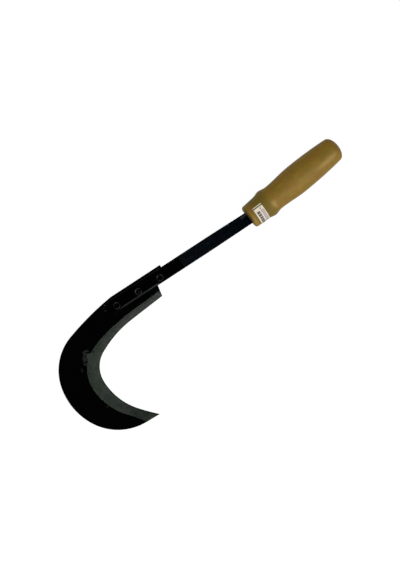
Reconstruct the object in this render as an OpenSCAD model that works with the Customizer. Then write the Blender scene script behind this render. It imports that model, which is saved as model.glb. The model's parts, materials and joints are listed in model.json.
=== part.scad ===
// Hooked sickle: a stamped crescent blade riveted under a flat steel shank,
// whose tang is driven into a turned wooden handle.
// Frame: X runs along the shank towards the handle, Y towards the back of the blade,
// Z out of the face that carries the shank. The origin lies on the flat underside of
// the blade, on the shank's centre line and level with the end of its nose.

/* [Blade back] */
// Thickness of the blade plate
plate_t = 2.5; // [1.6:0.1:4]
// Straight stretch of the back, from the end of the tab
back_straight = 69; // [62:1:80]
// How far the tab reaches past the heel rivet towards the handle
tab_len = 8; // [6:0.5:16]
// How far the back of the plate stands proud of the shank
back_margin = 3; // [1:0.5:6]
// How far the tab's lower edge is tucked in behind the shank
tab_tuck = 0.6; // [0:0.1:1.5]
// Turn at the end of the straight back, in degrees
back_kink = 6.5; // [4:0.1:9]
// Radius of the slow curve after it
back_lead_r = 354; // [320:1:400]
// Sweep of the slow curve, in degrees
back_lead_sweep = 10.7; // [9:0.1:12]
// Radius of the hook's shoulder
back_shoulder_r = 61.4; // [58:0.1:65]
// Sweep of the shoulder, in degrees
back_shoulder_sweep = 59.4; // [56:0.1:62]
// Radius of the flatter side of the hook
back_side_r = 76.3; // [72:0.1:81]
// Sweep of the flatter side, in degrees
back_side_sweep = 40.7; // [38:0.1:43]
// Radius of the hook's lower round
back_round_r = 64.6; // [61:0.1:68]
// Sweep of the lower round, in degrees
back_round_sweep = 60; // [57:0.1:63]
// Straight run of the back up to the point
back_run_out = 19; // [13:0.5:24]

/* [Cutting edge] */
// How far the heel corner of the edge stays short of the heel rivet
heel_setback = 9.4; // [4:0.2:16]
// Depth of the heel corner below the lower edge of the shank
heel_depth = 13; // [9:0.5:16]
// Lean of the heel's short end, in degrees
heel_lean = 10.6; // [0:0.2:16]
// Fall of the edge at the heel, in degrees
edge_fall = 4.6; // [2:0.1:7]
// Straight stretch of the edge from the heel
edge_straight = 45; // [38:1:52]
// Radius of the slow curve after it
edge_lead_r = 131; // [110:1:150]
// Sweep of the slow curve, in degrees
edge_lead_sweep = 22.3; // [18:0.1:26]
// Radius of the tight round of the throat
edge_throat_r = 33.7; // [30:0.1:38]
// Sweep of the throat, in degrees
edge_throat_sweep = 61.7; // [56:0.1:67]
// Radius of the belly below the throat
edge_belly_r = 73.8; // [66:0.1:84]
// Sweep of the belly, in degrees
edge_belly_sweep = 40.4; // [34:0.1:46]

/* [Ground bevel] */
// Width of the bevel at the heel
bevel_heel_w = 7.2; // [4:0.1:11]
// Width of the bevel at the belly
bevel_belly_w = 15.5; // [11:0.1:20]
// Width of the bevel at the point
bevel_point_w = 11.5; // [7:0.1:15]
// Thickness left at the cutting edge
edge_land = 0.3; // [0.2:0.05:0.8]

/* [Shank] */
// Width of the flat bar
shank_w = 16; // [14:0.5:20]
// Thickness of the flat bar
shank_t = 5; // [3.5:0.1:8]
// Bare bar between the heel rivet and the mouth of the handle
bare_len = 125; // [90:1:160]
// Width of the bar where it enters the handle
neck_w = 14.8; // [12:0.1:16]
// Length over which the bar narrows to the neck
neck_len = 53; // [30:1:75]
// From the end of the nose to the toe rivet
nose_len = 13.4; // [11:0.1:18]
// Radius of the nose's corners in plan
nose_r = 4; // [2:0.1:6]
// Length of the bevel on the nose
nose_bevel_len = 6.5; // [3:0.1:8]
// Thickness of the nose at its end
nose_end_t = 2.8; // [2:0.1:3.4]
// Rounding along the long corners of the bar
arris_r = 1.1; // [0.5:0.1:1.7]

/* [Tang] */
// Length of the tang inside the handle
tang_len = 95; // [60:1:110]
// Width of the tang at its end
tang_tip_w = 5; // [3:0.5:9]
// Gap between the driven tang and the wood
tang_clearance = 0.1; // [0.05:0.05:0.3]
// Drilled depth left empty past the end of the tang
tang_relief = 3; // [1:0.5:8]

/* [Rivets] */
// Diameter of the rivet body
rivet_d = 5; // [4:0.1:6]
// Distance from rivet to rivet
rivet_pitch = 30; // [28:0.5:32]
// How far the rivets sit below the shank's centre line
rivet_drop = 1.5; // [0:0.1:2]
// Diameter of the hammered head
head_d = 8.8; // [7.6:0.1:10]
// Height of the hammered head
head_h = 2; // [1.2:0.1:3]
// Diameter of the flat that the hammer leaves on the head
head_flat_d = 4.4; // [2:0.1:6]
// Diameter of the countersunk foot in the underside of the blade
foot_d = 7.6; // [6.6:0.1:9]
// Depth of the countersunk foot
foot_h = 1.1; // [0.6:0.1:1.4]
// Gap round the rivet body
rivet_clearance = 0.05; // [0.02:0.01:0.15]

/* [Handle] */
// Cant of the handle against the shank, in degrees
handle_cant = 6; // [0:0.5:12]
// Radius of the handle behind its rounded front edge
front_r = 14.6; // [13:0.1:17]
// Rounding of the front edge
front_round = 3.2; // [1.5:0.1:5]
// Length of the collar in front of the bead
collar_len = 19; // [14:0.5:24]
// Radius at the end of the collar
collar_r = 15.6; // [14:0.1:17]
// From the end of the collar to the crest of the bead
bead_rise_len = 8.5; // [6:0.5:12]
// Radius of the bead
bead_r = 17.4; // [16:0.1:20]
// From the crest of the bead to the waist
bead_fall_len = 10; // [7:0.5:14]
// Radius of the waist
waist_r = 15.7; // [14:0.1:17]
// From the waist to the crest of the palm swell
palm_rise_len = 34.5; // [28:0.5:42]
// Radius of the palm swell
palm_r = 17.8; // [16:0.1:20]
// From the palm swell to the start of the rounded butt
tail_len = 54.5; // [46:0.5:62]
// Radius where the rounded butt starts
tail_r = 15.1; // [13:0.1:17]
// Length of the rounded butt
butt_len = 8.5; // [5:0.1:12]

/* [Price label] */
// Start of the label, behind the front of the handle
label_start = 9; // [6:0.1:14]
// Width of the label along the handle
label_w = 13.5; // [9:0.5:16]
// Length of the label round the handle
label_len = 32; // [20:0.5:45]
// Where the label begins, in degrees above the middle of the face seen
label_top = 21; // [0:1:40]
// How far the label is stuck on askew, in degrees
label_skew = -5.5; // [-12:0.5:12]
// Thickness of the paper
label_t = 0.15; // [0.1:0.05:0.3]
// Thickness of the glue under it
glue_t = 0.05; // [0.02:0.01:0.1]

/* [Hidden] */
$fn = 64;

// Longest step along a curve, in millimetres and in degrees
curve_step = 12;
curve_turn = 3;
// How far cutting shapes reach past what they cut
past = 3;

rivet_r = rivet_d / 2;
rivet_hole_r = rivet_r + rivet_clearance;
function rivet_x(k) = nose_len + k * rivet_pitch;
heel_rivet_x = rivet_x(2);
rivet_y = -rivet_drop;
tab_x = heel_rivet_x + tab_len;
heel_x = heel_rivet_x - heel_setback;
mouth_x = heel_rivet_x + bare_len;
back_y = shank_w / 2 + back_margin;
heel_y = -shank_w / 2 - heel_depth;
shank_z = plate_t;
handle_z = shank_z + shank_t / 2;
tab_y = -shank_w / 2 + tab_tuck;

// A leg of a smooth outline is [length, sweep in degrees], and a place on it is [x, y, heading]
function arc_leg(radius, sweep) = [radius * sweep * PI / 180, sweep];
function leg_place(from, leg, share) =
    let (
        heading = from[2],
        turn = leg[1] * share,
        radius = abs(leg[1]) < 0.01 ? 0 : leg[0] * 180 / (PI * leg[1])
    )
    radius == 0
        ? [from[0] + leg[0] * share * cos(heading), from[1] + leg[0] * share * sin(heading), heading]
        : [
            from[0] + radius * (sin(heading + turn) - sin(heading)),
            from[1] - radius * (cos(heading + turn) - cos(heading)),
            heading + turn
        ];
function leg_steps(leg) = leg[1] == 0 ? 1 : ceil(max(abs(leg[1]) / curve_turn, leg[0] / curve_step));
function leg_places(from, leg) = [for (k = [1 : leg_steps(leg)]) leg_place(from, leg, k / leg_steps(leg))];
function walk(from, legs, k = 0) =
    k == len(legs)
        ? [from]
        : concat(
            [from],
            leg_places(from, legs[k]),
            without_first(walk(leg_place(from, legs[k], 1), legs, k + 1))
        );
function without_first(list) = [for (k = [1 : 1 : len(list) - 1]) list[k]];
function last(list) = list[len(list) - 1];
// The one arc that leaves a place along its heading and ends at a point
function closing_leg(from, to) =
    let (
        d = [to[0] - from[0], to[1] - from[1]],
        ahead = d[0] * cos(from[2]) + d[1] * sin(from[2]),
        aside = -d[0] * sin(from[2]) + d[1] * cos(from[2]),
        sweep = 2 * atan2(aside, ahead)
    )
    abs(sweep) < 0.02 ? [norm(d), 0] : [norm(d) * (sweep / 2) * PI / 180 / sin(sweep / 2), sweep];
function points_of(places) = [for (p = places) [p[0], p[1]]];
function reversed(list) = [for (k = [len(list) - 1 : -1 : 0]) list[k]];
// Two triangles over four points of a mesh, given clockwise as seen from outside
function quad(a, b, c, d) = [[a, b, c], [a, c, d]];

// Blade outline: the back from the tab to the point, then the edge from the heel to the point
back_places = walk(
    [tab_x - back_straight, back_y, 180 + back_kink],
    [
        arc_leg(back_lead_r, back_lead_sweep),
        arc_leg(back_shoulder_r, back_shoulder_sweep),
        arc_leg(back_side_r, back_side_sweep),
        arc_leg(back_round_r, back_round_sweep),
        [back_run_out, 0]
    ]
);
blade_point = last(back_places);
edge_open = walk(
    [heel_x, heel_y, 180 + edge_fall],
    [
        [edge_straight, 0],
        arc_leg(edge_lead_r, edge_lead_sweep),
        arc_leg(edge_throat_r, edge_throat_sweep),
        arc_leg(edge_belly_r, edge_belly_sweep)
    ]
);
edge_close = closing_leg(last(edge_open), blade_point);
edge_places = concat(edge_open, leg_places(last(edge_open), edge_close));
heel_top_x = heel_x + (tab_y - heel_y) * tan(heel_lean);

module blade_outline() {
    polygon(concat(
        [[heel_top_x, tab_y], [tab_x, tab_y], [tab_x, back_y]],
        points_of(back_places),
        without_first(reversed(points_of(edge_places)))
    ));
}

// Distance along a line of points up to each of them
function run_lengths(points, k = 0, sum = 0) =
    k == len(points) - 1
        ? [sum]
        : concat([sum], run_lengths(points, k + 1, sum + norm(points[k + 1] - points[k])));
function ease(t) = t <= 0 ? 0 : t >= 1 ? 1 : t * t * (3 - 2 * t);
// The bevel keeps its heel width over the first quarter, is widest past the throat and narrows to the point
bevel_heel_share = 0.25;
bevel_belly_share = 0.62;
bevel_point_share = 0.9;
function bevel_width(share) =
    share < bevel_belly_share
        ? bevel_heel_w + (bevel_belly_w - bevel_heel_w)
            * ease((share - bevel_heel_share) / (bevel_belly_share - bevel_heel_share))
        : bevel_belly_w + (bevel_point_w - bevel_belly_w)
            * ease((share - bevel_belly_share) / (bevel_point_share - bevel_belly_share));

// Cross-section of what the grinder takes away, at one place of the edge
function ground_section(place, width) =
    let (
        slope = (plate_t - edge_land) / width,
        into = [cos(place[2] - 90), sin(place[2] - 90)],
        at = function (d, z) [place[0] + into[0] * d, place[1] + into[1] * d, z],
        top = plate_t + past
    )
    [
        at(width + past, plate_t + slope * past),
        at(-past, edge_land - slope * past),
        at(-past, top),
        at(width + past, top)
    ];

module ground_away() {
    lengths = run_lengths(points_of(edge_places));
    count = len(edge_places);
    before = leg_place(edge_places[0], [-past - bevel_heel_w * tan(heel_lean), 0], 1);
    beyond = leg_place(last(edge_places), [past, 0], 1);
    places = concat([before], edge_places, [beyond]);
    shares = concat([0], [for (s = lengths) s / last(lengths)], [1]);
    sections = [for (k = [0 : count + 1]) ground_section(places[k], bevel_width(shares[k]))];
    corners = 4;
    points = [for (s = sections) for (p = s) p];
    sides = [
        for (k = [0 : count])
            for (c = [0 : corners - 1])
                let (
                    a = k * corners + c,
                    b = k * corners + (c + 1) % corners,
                    d = a + corners,
                    e = b + corners
                )
                for (f = quad(a, d, e, b)) f
    ];
    first = quad(0, 1, 2, 3);
    base = (count + 1) * corners;
    end = quad(base, base + 3, base + 2, base + 1);
    polyhedron(points = points, faces = concat(sides, first, end));
}

module at_rivets() {
    for (k = [0 : 2])
        translate([rivet_x(k), rivet_y, 0])
            children();
}

module blade() {
    color("#141515")
        difference() {
            linear_extrude(plate_t)
                blade_outline();
            ground_away();
            at_rivets() {
                translate([0, 0, -past])
                    cylinder(r = rivet_hole_r, h = plate_t + 2 * past);
                foot(rivet_clearance, past);
            }
        }
}

// Countersunk foot of a rivet, reaching a little past the blade's underside where it cuts
module foot(clearance, below) {
    run = (foot_d - rivet_d) / 2 / foot_h;
    translate([0, 0, -below])
        cylinder(r1 = foot_d / 2 + clearance + run * below, r2 = rivet_r + clearance, h = foot_h + below);
}

module rivet() {
    seat_z = plate_t + shank_t;
    color("#1b1c1d") {
        cylinder(r = rivet_r, h = seat_z + head_h / 2);
        foot(0, 0);
        translate([0, 0, seat_z])
            rotate_extrude()
                polygon(concat([[0, 0]], head_profile(), [[0, head_h]]));
    }
}

// Half section of the hammered head: a quarter round from its rim to the flat on top
function head_profile() =
    let (steps = 6, run = (head_d - head_flat_d) / 2)
    [for (k = [0 : steps]) [head_flat_d / 2 + run * cos(90 * k / steps), head_h * sin(90 * k / steps)]];

// Plan of the bar and its tang, grown on every side by a clearance
function corner_arc(centre, radius, from, to) =
    let (steps = 6)
    [for (k = [0 : steps]) let (a = from + (to - from) * k / steps) centre + radius * [cos(a), sin(a)]];
function along_tang(d, side) =
    [
        mouth_x + d * cos(handle_cant) - side * sin(handle_cant),
        d * sin(handle_cant) + side * cos(handle_cant)
    ];
function shank_plan(grow = 0, more = 0) =
    let (
        half = shank_w / 2 + grow,
        neck = neck_w / 2 + grow,
        tip = tang_tip_w / 2 + grow,
        turn = neck * tan(handle_cant / 2),
        r = nose_r + grow
    )
    concat(
        corner_arc([nose_r, half - r], r, 180, 90),
        [
            [mouth_x - neck_len, half],
            [mouth_x - turn, neck],
            along_tang(tang_len + more, tip),
            along_tang(tang_len + more, -tip),
            [mouth_x + turn, -neck],
            [mouth_x - neck_len, -half]
        ],
        corner_arc([nose_r, -half + r], r, 270, 180)
    );

module rounded_bar_section(w, t, r) {
    translate([-w / 2 + r, 0])
        square([w - 2 * r, t]);
    translate([-w / 2, r])
        square([w, t - 2 * r]);
    for (x = [-w / 2 + r, w / 2 - r], y = [r, t - r])
        translate([x, y])
            circle(r = r, $fn = 24);
}

module shank() {
    color("#10151c")
        difference() {
            intersection() {
                translate([0, 0, shank_z])
                    linear_extrude(shank_t)
                        polygon(shank_plan());
                union() {
                    translate([-past, 0, shank_z])
                        rotate([90, 0, 90])
                            linear_extrude(mouth_x + past)
                                rounded_bar_section(shank_w, shank_t, arris_r);
                    translate([mouth_x, -shank_w, shank_z])
                        cube([tang_len, 3 * shank_w, shank_t]);
                }
            }
            at_rivets()
                translate([0, 0, shank_z - past])
                    cylinder(r = rivet_hole_r, h = shank_t + 2 * past);
            nose_cut();
        }
}

// Wedge taken off the top of the nose, so that it runs down towards the plate
module nose_cut() {
    slope = (shank_t - nose_end_t) / nose_bevel_len;
    top = shank_z + shank_t;
    translate([0, shank_w, 0])
        rotate([90, 0, 0])
            linear_extrude(2 * shank_w)
                polygon([
                    [-past, shank_z + nose_end_t - slope * past],
                    [nose_bevel_len + past, top + slope * past],
                    [-past, top + slope * past]
                ]);
}

// Stations of the turned handle, measured from its front
bead_x = collar_len + bead_rise_len;
waist_x = bead_x + bead_fall_len;
palm_x = waist_x + palm_rise_len;
tail_x = palm_x + tail_len;
collar_slope = (collar_r - front_r) / (collar_len - front_round);
// The tail falls a little faster than a plain curve, as it leaves the palm full
tail_slope = 2.2 * (tail_r - palm_r) / tail_len;
// The rounded butt is a quarter ellipse that takes over at the tail's slope
butt_start = atan(-tail_slope * butt_len / tail_r);
handle_len = tail_x + butt_len * (1 - sin(butt_start));

// Knots of the profile are [station, radius, slope], joined by cubic curves
handle_knots = [
    [front_round, front_r, collar_slope],
    [collar_len, collar_r, collar_slope],
    [bead_x, bead_r, 0],
    [waist_x, waist_r, 0],
    [palm_x, palm_r, 0],
    [tail_x, tail_r, tail_slope]
];
function between(a, b, x) =
    let (span = b[0] - a[0], t = (x - a[0]) / span, t2 = t * t, t3 = t2 * t)
    (2 * t3 - 3 * t2 + 1) * a[1] + (t3 - 2 * t2 + t) * span * a[2]
        + (3 * t2 - 2 * t3) * b[1] + (t3 - t2) * span * b[2];
function handle_radius(x, k = 0) =
    x <= handle_knots[k + 1][0] || k == len(handle_knots) - 2
        ? between(handle_knots[k], handle_knots[k + 1], x)
        : handle_radius(x, k + 1);

// Half section of the handle as [radius, station]
function handle_profile() =
    let (
        round_steps = 5,
        butt_steps = 12,
        spans = len(handle_knots) - 1,
        start = function (k) handle_knots[k][0],
        steps = function (k) max(6, ceil((start(k + 1) - start(k)) / 4.5))
    )
    concat(
        [[0, 0]],
        [
            for (k = [0 : round_steps - 1])
                let (a = 90 * k / round_steps)
                [front_r - front_round * (1 - sin(a)), front_round * (1 - cos(a))]
        ],
        [[front_r, front_round]],
        [
            for (k = [0 : spans - 1], j = [1 : steps(k)])
                let (x = start(k) + (start(k + 1) - start(k)) * j / steps(k))
                [handle_radius(x), x]
        ],
        [
            for (k = [1 : butt_steps - 1])
                let (a = butt_start + (90 - butt_start) * k / butt_steps)
                [tail_r * cos(a) / cos(butt_start), tail_x + butt_len * (sin(a) - sin(butt_start))]
        ],
        [[0, handle_len]]
    );

// Carries a shape turned about Z to the handle's own axis
module on_handle_axis() {
    translate([mouth_x, 0, handle_z])
        rotate([0, 0, handle_cant])
            rotate([0, 90, 0])
                children();
}

module handle() {
    color("#8a6f35")
        difference() {
            on_handle_axis()
                rotate_extrude()
                    polygon(handle_profile());
            translate([0, 0, shank_z - tang_clearance])
                linear_extrude(shank_t + 2 * tang_clearance)
                    polygon(shank_plan(tang_clearance, tang_relief));
        }
}

// A place on the label: along and round are distances from its first corner, lift is off the wood
function label_place(along, round, lift) =
    let (
        x = label_start + along * cos(label_skew) + round * sin(label_skew),
        arc = round * cos(label_skew) - along * sin(label_skew),
        angle = 180 - label_top + arc / handle_radius(label_start) * 180 / PI,
        r = handle_radius(x) + lift
    )
    [r * cos(angle), r * sin(angle), x];

// A thin sheet wrapped on the handle: a grid of points on the glue and one on the paper's face
module price_label() {
    rows = ceil(label_w / 1.5);
    columns = ceil(label_len / 1.5);
    across = columns + 1;
    sheet = (rows + 1) * across;
    points = [
        for (lift = [glue_t, glue_t + label_t], i = [0 : rows], j = [0 : columns])
            label_place(label_w * i / rows, label_len * j / columns, lift)
    ];
    at = function (i, j, side) side * sheet + i * across + j;
    flat = [
        for (i = [0 : rows - 1], j = [0 : columns - 1], side = [0, 1])
            let (
                a = at(i, j, side),
                b = at(i, j + 1, side),
                c = at(i + 1, j + 1, side),
                d = at(i + 1, j, side)
            )
            for (f = side == 0 ? quad(a, b, c, d) : quad(a, d, c, b)) f
    ];
    round_edges = [
        for (i = [0, rows], j = [0 : columns - 1])
            let (a = at(i, j, 0), b = at(i, j + 1, 0), c = at(i, j + 1, 1), d = at(i, j, 1))
            for (f = i == 0 ? quad(a, d, c, b) : quad(a, b, c, d)) f
    ];
    end_edges = [
        for (j = [0, columns], i = [0 : rows - 1])
            let (a = at(i, j, 0), b = at(i + 1, j, 0), c = at(i + 1, j, 1), d = at(i, j, 1))
            for (f = j == 0 ? quad(a, b, c, d) : quad(a, d, c, b)) f
    ];
    color("#ece6dc")
        on_handle_axis()
            polyhedron(points = points, faces = concat(flat, round_edges, end_edges));
}

blade();
shank();
translate([rivet_x(0), rivet_y, 0]) rivet();  // rivet_toe
translate([rivet_x(1), rivet_y, 0]) rivet();  // rivet_middle
translate([rivet_x(2), rivet_y, 0]) rivet();  // rivet_heel
handle();
price_label();
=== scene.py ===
"""Looks of a hooked sickle: a stamped and ground blade, a riveted shank and a turned handle."""

import json
import math
import random
from collections import namedtuple
from functools import partial

import bmesh
import bpy
from mathutils import Matrix, Vector, geometry, noise
from mathutils.bvhtree import BVHTree


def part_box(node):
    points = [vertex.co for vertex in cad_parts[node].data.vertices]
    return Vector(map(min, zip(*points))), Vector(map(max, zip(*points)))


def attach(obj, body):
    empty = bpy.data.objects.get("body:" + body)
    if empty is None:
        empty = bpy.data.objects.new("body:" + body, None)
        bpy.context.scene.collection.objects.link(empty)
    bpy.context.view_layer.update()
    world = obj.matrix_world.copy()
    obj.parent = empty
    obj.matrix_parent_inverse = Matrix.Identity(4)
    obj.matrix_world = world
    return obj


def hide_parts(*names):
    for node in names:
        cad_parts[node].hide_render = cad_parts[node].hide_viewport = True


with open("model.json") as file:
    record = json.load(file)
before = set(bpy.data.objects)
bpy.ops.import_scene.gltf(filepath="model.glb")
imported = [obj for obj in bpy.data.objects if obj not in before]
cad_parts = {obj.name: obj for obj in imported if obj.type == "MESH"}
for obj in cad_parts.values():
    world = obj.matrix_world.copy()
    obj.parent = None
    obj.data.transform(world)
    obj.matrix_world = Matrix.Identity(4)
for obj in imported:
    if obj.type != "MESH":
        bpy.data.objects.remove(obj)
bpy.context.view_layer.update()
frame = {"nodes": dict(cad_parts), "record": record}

bl_info = {
    "name": "Hooked Sickle",
    "version": (1, 0, 0),
    "blender": (4, 5, 0),
    "location": "3D View > Sidebar > Sickle",
    "description": "Dresses a hooked sickle with its ground blade, riveted shank, turned handle and label",
    "category": "Object",
}

MM = 0.001
RIVET_NODES = ("rivet_toe", "rivet_middle", "rivet_heel")
RIVET_SIDES, HANDLE_SIDES = 48, 96

# The upper face of the plate, the upper face of the bar and half the bar's width
PLATE_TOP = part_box("blade")[1].z
BAR_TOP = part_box("shank")[1].z
HALF_BAR = -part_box("shank")[0].y

# Between these heights lies the top of the thin land along the cutting edge
LAND_TOP = (0.2 * MM, 0.45 * MM)

# Places closer than these are one: corners of a CAD mesh, corners that a cut leaves, and
# corners of the cutting edge
SAME_CORNER, SLIVER, SAME_PLACE = 0.002 * MM, 0.01 * MM, 0.05 * MM

# Nearly all of a noise texture lies between these values
NOISE_SPAN = (0.3, 0.7)

# The picture is 570 pixels high, and a pixel of it is 1.17 mm at the blade
PICTURE_HEIGHT = 570 * 1.17


def linear(hex_colour):
    """Linear red, green and blue of an sRGB colour such as "#8a6f35"."""
    shares = [int(hex_colour[k : k + 2], 16) / 255 for k in (1, 3, 5)]
    return [s / 12.92 if s <= 0.04045 else ((s + 0.055) / 1.055) ** 2.4 for s in shares]


def rgba(colour):
    """A colour property as the four numbers that a colour socket takes."""
    return (*colour, 1.0)


def mount(name):
    """Place and direction of one of the record's mounts."""
    found = next(m for m in frame["record"]["mounts"] if m["name"] == name)
    return Vector(found["pos_m"]), Vector(found["axis"])


def node_points(*nodes):
    """Corners of some CAD nodes' meshes."""
    return [v.co.copy() for n in nodes for v in frame["nodes"][n].data.vertices]


# The handle's own frame: X along its axis from the front face, Z as in the frame
GRIP_PLACE, GRIP_AXIS = mount("grip")
GRIP_SPAN = [(p - GRIP_PLACE).dot(GRIP_AXIS) for p in node_points("handle")]
HANDLE_FRONT = GRIP_PLACE + GRIP_AXIS * min(GRIP_SPAN)
HANDLE_LENGTH = max(GRIP_SPAN) - min(GRIP_SPAN)
HANDLE_CANT = math.atan2(GRIP_AXIS.y, GRIP_AXIS.x)
HANDLE_FRAME = Matrix.Translation(HANDLE_FRONT) @ Matrix.Rotation(HANDLE_CANT, 4, "Z")
HANDLE_TREE = BVHTree.FromPolygons(
    node_points("handle"),
    [list(f.vertices) for f in frame["nodes"]["handle"].data.polygons],
)

# The middle of the hook, inside the curve of the cutting edge
OPENINGS = {o["name"]: o["box_m"] for o in frame["record"]["physics"]["openings"]}
HOOK_CENTRE = sum(map(Vector, OPENINGS["hook_middle"]), Vector()) / 2

# A rubbed or stained place, or a place of painted shade or painted highlight: where it is, its half sizes in
# mm, its turn and how strong it is
Mark = namedtuple("Mark", "x y half_length half_width degrees share")

# Where handling has rubbed the blade's lacquer, and the flecks of it that are left there. The last two marks
# are painted glints beside the bar's nose
BLADE_MARKS = (
    Mark(-49.7, -32.6, 10.0, 4.4, 57, 0.38),
    Mark(-46.2, -34.2, 5.0, 3.2, 57, 0.5),
    Mark(-62.4, -42.8, 2.6, 1.4, 57, 0.2),
    Mark(-60.5, -94.6, 1.1, 0.8, 0, 0.5),
    Mark(-44.8, -29.2, 3.4, 0.9, -33, -1.0),
    Mark(-53.4, -37.2, 2.6, 1.0, -5, -1.0),
    Mark(-50.3, -31.0, 1.2, 0.6, 30, -0.5),
    Mark(-0.9, 4.2, 1.0, 0.8, 0, 0.3),
    Mark(-1.4, 0.7, 1.1, 0.9, 0, 0.38),
)
# Flecks of lacquer on the ground bevel, and one streak of rust
BEVEL_MARKS = (
    Mark(64.9, -14.5, 6.0, 1.6, 74, 1.0),
    Mark(62.9, -13.6, 2.8, 1.2, 20, 1.0),
    Mark(-39.6, -31.9, 2.2, 1.0, -25, 1.0),
    Mark(-43.6, -35.6, 1.6, 0.7, 20, 0.6),
    Mark(-40.8, -38.6, 1.3, 0.6, 60, 0.45),
    Mark(-25.0, -134.1, 9.5, 0.9, 0, 0.8),
)
RUST_MARKS = (Mark(-44.3, -50.4, 5.2, 1.2, 75, 0.35),)
# Painted glints on the bar's nose, on its corner over the tab and on its corner near the handle, and lighter
# patches on its face and at the mouth
BAR_MARKS = (
    Mark(1.4, 6.7, 1.4, 0.8, -35, 0.55),
    Mark(76.0, 7.6, 2.0, 0.8, 0, 0.3),
    Mark(193.8, 4.9, 4.6, 1.9, 3, 0.3),
    Mark(173.2, 6.3, 2.0, 0.7, 0, 0.3),
    Mark(142.3, 1.3, 2.6, 1.8, 0, 0.05),
)
# Redder stains on the handle, from its front face along it and from its axis across it
HANDLE_MARKS = (
    Mark(7.5, 6.0, 3.5, 5.0, 0, 0.4),
    Mark(56.0, 2.5, 6.0, 2.5, 10, 0.35),
    Mark(99.5, 7.8, 7.0, 3.0, 0, 0.3),
    Mark(110.0, 6.2, 4.5, 3.0, 0, 0.35),
    Mark(99.6, -12.0, 2.6, 1.3, 25, 0.5),
    Mark(95.6, -11.0, 2.0, 1.0, -20, 0.4),
)
# Painted highlights on the varnish, as paler patches: at the mouth, behind the bead, and behind the palm
# swell
WOOD_HIGHLIGHTS = (
    Mark(3.6, -8.6, 2.2, 4.6, 0, 0.4),
    Mark(33.0, -6.2, 2.6, 4.0, 0, 0.7),
    Mark(104.0, -7.2, 6.0, 2.2, 0, 0.35),
    Mark(116.0, -6.6, 8.0, 2.4, 3, 0.5),
)
# Painted shade, where the wood is darker: a painted shadow in a strip beside the label, and along the top
# from the waist to the butt
WOOD_SHADE_MARKS = (
    Mark(6.8, -6.5, 8.0, 1.4, 86, 0.85),
    Mark(52.0, 1.0, 12.0, 3.4, 6, 0.4),
    Mark(84.0, 1.0, 9.0, 2.6, 0, 0.3),
    Mark(115.0, 1.6, 11.0, 4.4, 0, 0.6),
)

# Painted glints in arcs on the rivets' rims: direction and half width in degrees, distance from the
# middle as a share of the rim's, and how strong it is
Arc = namedtuple("Arc", "degrees half_width out share")
RIVET_ARCS = {
    "rivet_toe": (
        Arc(72, 55, 1.0, 0.9),
        Arc(-48, 35, 1.0, 0.4),
        Arc(-108, 45, 1.0, 0.55),
        Arc(157, 25, 1.0, 0.15),
    ),
    "rivet_middle": (
        Arc(62, 45, 0.9, 0.6),
        Arc(157, 45, 0.95, 0.75),
        Arc(212, 45, 0.95, 0.6),
        Arc(-43, 35, 1.0, 0.5),
        Arc(-75, 60, 0.3, 0.45),
    ),
    "rivet_heel": (
        Arc(17, 50, 1.0, 0.85),
        Arc(97, 45, 1.0, 0.3),
        Arc(160, 40, 1.0, 0.2),
        Arc(232, 35, 1.0, 0.35),
    ),
}

# Print on the label, in mm from its edge nearest the blade and from its first end. A pitch
# repeats a block, and filled is the share of the pitch that is printed
Print = namedtuple("Print", "left right near far pitch filled ink")
LABEL_PRINT = (
    Print(1.4, 10.7, 6.0, 31.0, 40.0, 1.0, "panel"),
    Print(0.0, 11.8, 1.1, 2.3, 40.0, 1.0, "rule"),
    Print(1.45, 5.45, 6.6, 28.6, 3.5, 0.85, "ink"),
    Print(7.3, 9.0, 4.1, 5.3, 40.0, 1.0, "ink"),
    Print(6.85, 10.9, 6.8, 28.6, 1.9, 0.6, "pale_ink"),
)

# How much further into the plate than the plain sweep the bevel was ground, in mm, by the
# direction from the hook's middle in degrees: over the top of the hook, and near its point
GRIND_REACH = (
    (57, 0), (67, 1.4), (77, 0.7), (87, 1.1), (97, 0.8), (107, 0.4), (117, 0),
    (214, 0), (227, -0.7), (237, -1.3), (247, 0.2), (257, 0),
)


def handle_radius(station):
    """Radius of the turned handle at a distance behind its front face."""
    reach = 50 * MM
    side = HANDLE_FRAME @ Vector((station, 0, -reach))
    hit = HANDLE_TREE.ray_cast(side, Vector((0, 0, 1)))
    return reach - hit[3]


# Settings that a user would change


def length_setting(name, description, millimetres):
    """A setting that is a length."""
    return bpy.props.FloatProperty(
        name=name,
        description=description,
        default=millimetres * MM,
        subtype="DISTANCE",
        unit="LENGTH",
    )


def place_setting(name, description, *millimetres):
    """A setting that is a place in the frame."""
    return bpy.props.FloatVectorProperty(
        name=name,
        description=description,
        default=[m * MM for m in millimetres],
        subtype="TRANSLATION",
        unit="LENGTH",
    )


def angle_setting(name, description, degrees):
    """A setting that is an angle."""
    return bpy.props.FloatProperty(
        name=name,
        description=description,
        default=math.radians(degrees),
        subtype="ANGLE",
        unit="ROTATION",
    )


def colour_setting(name, description, hex_colour):
    """A setting that is a colour."""
    return bpy.props.FloatVectorProperty(
        name=name, description=description, default=linear(hex_colour), subtype="COLOR"
    )


def power_setting(name, description, watts):
    """A setting that is the power of a lamp."""
    return bpy.props.FloatProperty(name=name, description=description, default=watts, unit="POWER")


def share_setting(name, description, share):
    """A setting that runs from 0 to 1."""
    return bpy.props.FloatProperty(
        name=name, description=description, default=share, min=0.0, max=1.0, subtype="FACTOR"
    )


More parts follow.
